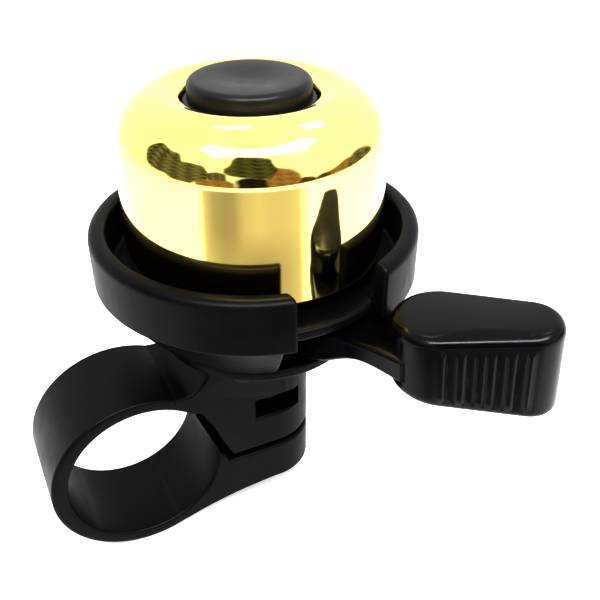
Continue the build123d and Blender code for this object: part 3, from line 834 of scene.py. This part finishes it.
def make_tab():
    """The tab under the block, with the lip that rises beside the bar."""
    under = smooth_path((on_bar(BAND_RADIUS, FOOT_ANGLE), *TAB_BELLY), 12)
    under.append(Vector((AXIS_X, TAB_BOTTOM)))
    inside_x, inside_z = INSIDE_TAB
    corners = ((AXIS_X, TAB_TOP, 0), *TAB_GAP_SIDE, (inside_x, inside_z, 0), (AXIS_X, inside_z, 0))
    over = [p for p in rounded(corners, 6)[:-2] if p.length > BAR_RADIUS + TAB_TIP_CLEARANCE]
    over += arc((0, 0), BAR_RADIUS, TAB_BORE_ANGLE, FOOT_ANGLE - 360, 60)
    shell = Shell()
    plate(shell, (under, over), BAND_HALF, EDGE)
    profile = [(NECK_RADIUS - b, TAB_TOP - i) for i, b in reversed(arc_steps(EDGE, 5))]
    profile += [(NECK_RADIUS - b, TAB_BOTTOM + i) for i, b in arc_steps(EDGE, 5)]
    half_round(shell, profile)
    tab = shell.build("clamp_tab")
    # A dark block in the slanted gap that stands in for the shade there.
    gap_shade_tongue = Shell()
    plate(gap_shade_tongue, (rounded(GAP_SHADE_TONGUE_SIDE, 4),), GAP_SHADE_TONGUE_HALF, GAP_SHADE_TONGUE_EDGE, closed=True)
    combine(tab, [gap_shade_tongue.build("gap_shade_tongue")], "UNION")
    recess = [
        Vector((NEAR_AXIS, BELOW_TAB)),
        Vector((RECESS_RADIUS + RECESS_BEVEL, BELOW_TAB)),
        Vector((RECESS_RADIUS + RECESS_BEVEL, TAB_BOTTOM)),
        Vector((RECESS_RADIUS, TAB_BOTTOM + RECESS_BEVEL)),
        Vector((RECESS_RADIUS, RECESS_TOP)),
        Vector((NEAR_AXIS, RECESS_TOP)),
    ]
    passage = [
        Vector((NEAR_AXIS, PASSAGE_BOTTOM)),
        Vector((PASSAGE_RADIUS, PASSAGE_BOTTOM)),
        Vector((PASSAGE_RADIUS, PASSAGE_TOP)),
        Vector((NEAR_AXIS, PASSAGE_TOP)),
    ]
    combine(tab, [lathe("recess", recess, 72), lathe("passage", passage, 48)], "DIFFERENCE")
    return finish_piece(tab, satin_black, "band", ())


# ---- lever -----------------------------------------------------------------------------

LEVER_BEARING = 15.8
LEVER_BOTTOM = 17.9
LEVER_HUB_TOP = 21.1
LEVER_HUB_RADIUS = 8.5
SLEEVE_INNER = 5.2
SLEEVE_OUTER = 6.6
SLEEVE_TOP = 28.0
LUG_BEARING = 278
LUG_START = 6.2
LUG_END = 11.9
LUG_HALF = 2.0
LUG_BOTTOM = LEVER_BOTTOM + 0.2
LUG_TOP = LEVER_HUB_TOP - 0.1
ARM_START = 6.2
ARM_BOTTOM = 18.1
# points of the arm's side view are (distance from the dome's axis, z)
ARM_UNDERSIDE = ((14.0, ARM_BOTTOM), (17.8, 20.0), (21.6, 22.4), (25.0, 23.5), (30.5, 23.9))
ARM_CREST = (
    (30.5, 27.2),
    (26.0, 26.5),
    (22.0, 25.65),
    (18.6, 25.0),
    (15.4, 23.1),
    (12.6, LEVER_HUB_TOP),
)
ARM_EDGE = 0.6
ARM_HALF = 3.0
ARM_SHOULDER = 3.5
ARM_WIDENING = (14.5, 18.5)
PAD_CENTRE = (15.1, -30.9)
PAD_TURN = -30.8
PAD_HALF_LENGTH = 9.3
PAD_FRONT = -5.55
PAD_BACK_INNER = 7.8
PAD_BACK_OUTER = 2.1
PAD_INNER_LENGTH = 10.5
PAD_CORNER = 4.2
PAD_INNER_CORNER = 5.6
PAD_TOP_INNER = 31.15
PAD_TOP_OUTER = 32.85
PAD_FOOT_INNER = 21.9
PAD_FOOT_OUTER = 20.3
PAD_TOP_ROUNDING = 1.35
PAD_FOOT_ROUNDING = 1.2
PAD_SKEW = 0.06
RIB_COUNT = 13
RIB_SPACING = 1.12
RIB_SHIFT = -1.5
RIB_HEIGHT = 0.26
RIB_UNEVENNESS = 0.25
RIB_FULLNESS = 0.7
FRONT_SPACING = 0.075
PLAN_SPACING = 0.6
RIB_FADE_LOW = 0.06
RIB_FADE_HIGH = 0.07
CROWN = 0.25
FOOT_RINGS = 8
SIDE_RINGS = 15
CROWN_RINGS = 17


def pad_outline():
    """The pad's plan as a closed loop, dense along the ribbed front."""
    corners = (
        (-PAD_INNER_LENGTH, PAD_FRONT, PAD_INNER_CORNER),
        (PAD_HALF_LENGTH, PAD_FRONT, PAD_CORNER),
        (PAD_HALF_LENGTH, PAD_BACK_OUTER, PAD_CORNER),
        (-PAD_INNER_LENGTH, PAD_BACK_INNER, PAD_INNER_CORNER),
    )
    raw = rounded(corners, 16)
    loop = []
    for i, here in enumerate(raw):
        ahead = raw[(i + 1) % len(raw)]
        spacing = FRONT_SPACING if on_front(here) and on_front(ahead) else PLAN_SPACING
        pieces = max(1, round((ahead - here).length / spacing))
        loop += [here.lerp(ahead, k / pieces) for k in range(pieces)]
    return loop


def on_front(point):
    return abs(point.y - PAD_FRONT) < 1e-4


def rib_swell(x):
    """How far the ribs stand out at one place along the pad's front."""
    place = (x - RIB_SHIFT) / RIB_SPACING + (RIB_COUNT - 1) / 2
    if place < -0.5 or place > RIB_COUNT - 0.5:
        return 0
    uneven = 1 - RIB_UNEVENNESS + RIB_UNEVENNESS * sin(2.7 * round(place))
    return RIB_HEIGHT * uneven * max(0, cos(pi * (place - round(place)))) ** RIB_FULLNESS


def along_pad(x, inner, outer):
    """A height that runs evenly from the pad's inner end to its outer end."""
    return inner + (outer - inner) * (x + PAD_HALF_LENGTH) / (2 * PAD_HALF_LENGTH)


def pad_foot(x):
    return along_pad(x, PAD_FOOT_INNER, PAD_FOOT_OUTER)


def pad_top(x):
    return along_pad(x, PAD_TOP_INNER, PAD_TOP_OUTER)


def make_pad():
    """Loops of the plan from the middle of the foot, up the sides, to the crown."""
    loop = pad_outline()
    middle = sum(loop, Vector((0, 0))) / len(loop)
    rows = []

    def ring(inward, level, ribs=0.0, scale=1.0):
        row = []
        for p, q in zip(loop, inset(loop, inward, closed=True)):
            x, y = middle + (q - middle) * scale
            if ribs and on_front(p):
                y -= ribs * rib_swell(p.x)
            z = level(x)
            row.append((x + PAD_SKEW * (PAD_TOP_INNER - z), y, z))
        rows.append(row)

    for k in range(1, FOOT_RINGS + 1):
        ring(PAD_FOOT_ROUNDING, pad_foot, scale=k / FOOT_RINGS)
    for inward, back in arc_steps(PAD_FOOT_ROUNDING, 7)[1:]:
        ring(inward, lambda x, back=back: pad_foot(x) + back)
    low, high = PAD_FOOT_ROUNDING, -CROWN - PAD_TOP_ROUNDING
    for k in range(1, SIDE_RINGS):
        s = k / SIDE_RINGS
        fade = sin(min(1, s / RIB_FADE_LOW) * pi / 2)
        fade *= sin(min(1, (1 - s) / RIB_FADE_HIGH) * pi / 2)
        ring(0, lambda x, s=s: (pad_foot(x) + low) * (1 - s) + (pad_top(x) + high) * s, fade)
    shoulder = arc_steps(PAD_TOP_ROUNDING, 10)[:0:-1]
    for inward, back in shoulder:
        ring(inward, lambda x, back=back: pad_top(x) - CROWN - back)
    rim_inset, rim_drop = shoulder[-1][0], CROWN + shoulder[-1][1]
    for k in range(1, CROWN_RINGS):
        s = cos(pi / 2 * k / CROWN_RINGS)
        ring(rim_inset, lambda x, s=s: pad_top(x) - rim_drop * s * s, scale=s)
    shell = Shell()
    shell.grid(rows, wrap_columns=True)
    for row in (rows[0], rows[-1]):
        centre = tuple(sum(p[axis] for p in row) / len(row) for axis in range(3))
        for j, corner in enumerate(row):
            shell.face((corner, row[(j + 1) % len(row)], centre))
    shift = Matrix.Translation((AXIS_X + PAD_CENTRE[0], PAD_CENTRE[1], 0))
    turn = Matrix.Rotation(radians(PAD_TURN), 4, "Z")
    return shell.build("pad", fill=False, place=shift @ turn)


def at_bearing(bearing):
    """Moves a part drawn out along +X to a bearing round the dome's axis."""
    return Matrix.Translation((AXIS_X, 0, 0)) @ Matrix.Rotation(bearing_angle(bearing), 4, "Z")


def make_arm():
    """The cranked arm from the hub to the pad, wider on its far side towards the pad."""
    outline = smooth_path(ARM_UNDERSIDE, 8) + smooth_path(ARM_CREST, 8)
    outline += [Vector((ARM_START, LEVER_HUB_TOP)), Vector((ARM_START, ARM_BOTTOM))]
    shell = Shell()
    plate(shell, (outline,), ARM_HALF, ARM_EDGE, closed=True)
    arm = shell.build("arm")
    first, last = ARM_WIDENING
    for vertex in arm.data.vertices:
        share = min(1, max(0, (vertex.co.x - first) / (last - first)))
        far = min(1, max(0, vertex.co.y / ARM_HALF + 1) / 2)
        vertex.co.y += ARM_SHOULDER * far * share * share * (3 - 2 * share)
    arm.data.transform(at_bearing(LEVER_BEARING))
    return arm


def make_lever():
    """The turning sleeve and hub with the lug that moves the striker, the arm and the pad."""
    hub = rounded(
        (
            (SLEEVE_INNER, LEVER_BOTTOM, 0.2),
            (LEVER_HUB_RADIUS, LEVER_BOTTOM, 0.3),
            (LEVER_HUB_RADIUS, LEVER_HUB_TOP, 0.3),
            (SLEEVE_OUTER, LEVER_HUB_TOP, 0.2),
            (SLEEVE_OUTER, SLEEVE_TOP, 0.2),
            (SLEEVE_INNER, SLEEVE_TOP, 0.2),
        ),
        4,
    )
    lever = lathe("thumb_lever_arm", hub, 120)
    plan = rounded(
        (
            (LUG_START, -LUG_HALF, 0),
            (LUG_END, -LUG_HALF, 0.8),
            (LUG_END, LUG_HALF, 0.8),
            (LUG_START, LUG_HALF, 0),
        ),
        5,
    )
    shell = Shell()
    shell.grid([[(p.x, p.y, z) for p in plan] for z in (LUG_BOTTOM, LUG_TOP)], wrap_columns=True)
    lug = shell.build("lug", place=at_bearing(LUG_BEARING))
    combine(lever, [make_arm(), lug, make_pad()], "UNION")
    return finish_piece(lever, gloss_black, "lever", ["thumb_lever"])


make_dome()
make_cap()
make_cup()
make_block()
strap = make_strap()
make_tab()
make_lever()
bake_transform(strap)

# ---- floor, lights and camera, in metres -----------------------------------------------

FLOOR_HALF = 3.0
FLOOR_GAP = 0.0002


def plane(name, half, level):
    """A level square of the stage."""
    mesh = bpy.data.meshes.new(name)
    corners = [(-half, -half, 0), (half, -half, 0), (half, half, 0), (-half, half, 0)]
    mesh.from_pydata(corners, [], [(0, 1, 2, 3)])
    piece = bpy.data.objects.new(name, mesh)
    piece.location.z = level
    bpy.context.scene.collection.objects.link(piece)
    return piece


floor = plane("floor", FLOOR_HALF, cad_box[0].z - FLOOR_GAP)
pale = Material("pale_floor", (0.93, 0.93, 0.92), 0, 0.6)
pale.link(pale.spread(pale.noise(40, 2), 0.55, 0.65), pale.shader.inputs["Roughness"])
pale.shader.inputs["Emission Color"].default_value = (1, 1, 0.99, 1)
pale.shader.inputs["Emission Strength"].default_value = 0.6
floor.data.materials.append(pale.material)


def area_light(name, place, target, size, power, mirrored=True):
    """A rectangular light that faces its target; reflections show it where it is mirrored."""
    light = bpy.data.lights.new(name, "AREA")
    light.shape = "RECTANGLE"
    light.size, light.size_y = size
    light.energy = power
    holder = bpy.data.objects.new(name, light)
    holder.location = place
    heading = Vector(target) - Vector(place)
    holder.rotation_euler = heading.to_track_quat("-Z", "Y").to_euler()
    holder.visible_camera = False
    holder.visible_glossy = mirrored
    bpy.context.scene.collection.objects.link(holder)


def direction(bearing, elevation):
    """A unit vector; bearing 0 is along -Y, 90 along +X."""
    b, e = radians(bearing), radians(elevation)
    return Vector((sin(b) * cos(e), -cos(b) * cos(e), sin(e)))


def show_in_reflections(name, points, faces, radiances, cover):
    """A glowing card that only the bell's reflections show, clear where its cover is 0."""
    mesh = bpy.data.meshes.new(name)
    mesh.from_pydata(points, [], faces)
    tint = mesh.color_attributes.new("tint", "FLOAT_COLOR", "POINT")
    for entry, radiance, opacity in zip(tint.data, radiances, cover):
        entry.color = (*radiance, opacity)
    material = bpy.data.materials.new(name)
    material.use_nodes = True
    tree = material.node_tree
    tree.nodes.clear()
    tint_node = tree.nodes.new("ShaderNodeAttribute")
    tint_node.attribute_name = "tint"
    glow = tree.nodes.new("ShaderNodeEmission")
    clear = tree.nodes.new("ShaderNodeBsdfTransparent")
    mix = tree.nodes.new("ShaderNodeMixShader")
    out = tree.nodes.new("ShaderNodeOutputMaterial")
    tree.links.new(tint_node.outputs["Color"], glow.inputs["Color"])
    tree.links.new(tint_node.outputs["Alpha"], mix.inputs[0])
    tree.links.new(clear.outputs[0], mix.inputs[1])
    tree.links.new(glow.outputs[0], mix.inputs[2])
    tree.links.new(mix.outputs[0], out.inputs["Surface"])
    mesh.materials.append(material)
    piece = bpy.data.objects.new(name, mesh)
    for ray in ("camera", "diffuse", "transmission", "volume_scatter", "shadow"):
        setattr(piece, "visible_" + ray, False)
    bpy.context.scene.collection.objects.link(piece)


def grid_faces(across, up):
    """The squares between the points of a grid, listed column by column."""
    faces = []
    for i in range(across):
        for j in range(up):
            k = i * (up + 1) + j
            faces.append((k, k + 1, k + up + 2, k + up + 1))
    return faces


def between(ends, share):
    """The value at a share of the way between two ends; the share runs from -1 to 1."""
    return (ends[0] + ends[1] + share * (ends[1] - ends[0])) / 2


def ragged_oval(u, v, bearings):
    """How far out a place on a card is, from 0 at its middle to about 1 at a ragged oval edge."""
    ragged = 0.10 * sin(4 * u + 2 * v + bearings[0]) + 0.05 * sin(6 * v + bearings[1])
    return (abs(u) ** OVAL_POWER + abs(v) ** OVAL_POWER) ** (1 / OVAL_POWER) + ragged


def mottling(u, v, bearings):
    """How much of the second tint there is at a place on a card."""
    blotches = 0.3 * sin(7 * u + 9 * v + bearings[0]) * sin(8 * v - 3 * u)
    ripples = 0.2 * sin(19 * v + 4 * sin(5 * u))
    return 0.5 + blotches + ripples


def card(name, bearings, elevations, tint, distance=0.9, soft=0.2, second=None):
    """A curved card round the bell with soft edges, oval if it is mottled with a second tint."""
    across, up = 64, 24
    points, radiances, cover = [], [], []
    for i in range(across + 1):
        for j in range(up + 1):
            u, v = 2 * i / across - 1, 2 * j / up - 1
            way = direction(between(bearings, u), between(elevations, v))
            points.append(AIM + distance * way)
            reach = ragged_oval(u, v, bearings) if second else max(abs(u), abs(v))
            cover.append(min(1, max(0, (1 - reach) / soft)))
            share = mottling(u, v, bearings)
            radiances.append(tuple(p + (q - p) * share for p, q in zip(tint, second or tint)))
    show_in_reflections(name, points, grid_faces(across, up), radiances, cover)


def floor_shade(name, stops, steps=6):
    """Dimmer floor in front of the bell, from (bearing, near grey, far grey, cover) stops."""
    level = cad_box[0].z + FLOOR_SHADE_LIFT
    rows = [stops[0]]
    for start, end in zip(stops, stops[1:]):
        for k in range(1, steps + 1):
            share = (1 - cos(pi * k / steps)) / 2
            rows.append(tuple(p + (q - p) * share for p, q in zip(start, end)))
    points, radiances, cover = [], [], []
    for bearing, near, far, opacity in rows:
        flat = direction(bearing, 0)
        for radius, farness, share in FLOOR_ROWS:
            grey = near + (far - near) * farness
            points.append((AIM.x + radius * flat.x, AIM.y + radius * flat.y, level))
            radiances.append(tuple(grey * c for c in FLOOR_WARMTH))
            cover.append(opacity * share)
    show_in_reflections(name, points, grid_faces(len(rows) - 1, len(FLOOR_ROWS) - 1), radiances, cover)


AIM = Vector((AXIS_X * MM, 0, 0.04))
OVAL_POWER = 2.6
# (distance from the dome's axis, share of the far grey, cover)
FLOOR_ROWS = ((0.05, 0, 0), (0.065, 0, 1), (0.096, 0, 1), (0.114, 1, 1), (0.3, 1, 1), (0.4, 1, 0))
FLOOR_SHADE_LIFT = 0.001
FLOOR_WARMTH = (1, 0.95, 0.88)
DAYLIGHT = (16, 16, 16.4)
LAMPLIGHT = (9, 9, 8.6)
WHITE = (1.55, 1.55, 1.52)
OLIVE = (0.40, 0.40, 0.28)
MOSS = (0.22, 0.23, 0.13)
DARK = (0.05, 0.055, 0.035)
BLACK = (0.012, 0.012, 0.010)
BROWN = (0.34, 0.17, 0.06)
AMBER = (0.60, 0.42, 0.22)
area_light("key", AIM + 0.8 * direction(-14, 56), AIM, (1.0, 0.08), 8)
area_light("top", AIM + 0.9 * direction(150, 70), AIM, (0.7, 0.5), 4.0, mirrored=False)

card("room", (-200, 200), (-8, 94), WHITE, 1.4, 0.08)
card("window", (-82, 58), (48, 62), DAYLIGHT, 1.3, 0.3)
card("lamp", (156, 188), (60, 71), LAMPLIGHT, 1.3, 0.6)
card("lamp_right", (92, 120), (52, 63), LAMPLIGHT, 1.3, 0.6)
card("room_centre", (-46, 0), (10, 48), MOSS, 0.9, 0.06, DARK)
card("room_centre_low", (-40, -4), (-10, 15), BLACK, 0.95, 0.3, DARK)
card("room_left", (-120, -84), (1, 35), OLIVE, 0.92, 0.06, BLACK)
card("room_left_end", (-100, -58), (-3, 26), DARK, 0.9, 0.06, OLIVE)
card("room_left_low", (-68, -36), (-16, 10), BROWN, 0.93, 0.2, AMBER)
card("room_left_gap", (-60, -42), (6, 20), BLACK, 0.91, 0.2, OLIVE)
card("room_right", (-14, 17), (-16, 27), BROWN, 0.92, 0.15, AMBER)
card("room_right_gap", (11, 30), (-12, 5), BLACK, 0.9, 0.2, BROWN)
card("room_right_low", (24, 64), (-20, 4), BROWN, 0.93, 0.2, BLACK)
card("room_right_mid", (40, 72), (-12, 9), AMBER, 0.92, 0.2, BROWN)
card("room_right_end", (54, 92), (-20, 10), DARK, 0.91, 0.2, OLIVE)
floor_shade(
    "floor_shade",
    (
        (-66, 1.10, 1.10, 0),
        (-60, 0.98, 0.98, 1),
        (-53, 0.84, 0.66, 1),
        (-45, 0.69, 0.58, 1),
        (-38, 0.73, 0.60, 1),
        (-30, 0.65, 0.87, 1),
        (-19, 0.57, 0.98, 1),
        (-9, 0.64, 0.92, 1),
        (2, 0.74, 0.94, 1),
        (12, 0.94, 1.04, 1),
        (22, 1.10, 1.10, 0),
    ),
)

world = bpy.data.worlds.new("studio")
world.use_nodes = True
background = world.node_tree.nodes["Background"]
background.inputs["Color"].default_value = (1, 0.995, 0.98, 1)
background.inputs["Strength"].default_value = 0.75
bpy.context.scene.world = world

CAMERA_PLACE = (-0.0155, -0.0888, 0.0827)
CAMERA_LENS = 47.2
LOOK_DOWN = 0.583  # radians
LOOK_RIGHT = 0.453

camera = bpy.data.cameras.new("camera")
camera.lens = CAMERA_LENS
camera.sensor_width = 36
camera.clip_start = 0.001
holder = bpy.data.objects.new("camera", camera)
holder.location = CAMERA_PLACE
holder.rotation_euler = (pi / 2 - LOOK_DOWN, 0, -LOOK_RIGHT)
bpy.context.scene.collection.objects.link(holder)
bpy.context.scene.camera = holder
bpy.context.scene.view_settings.view_transform = "Standard"
bpy.context.scene.view_settings.gamma = 0.74
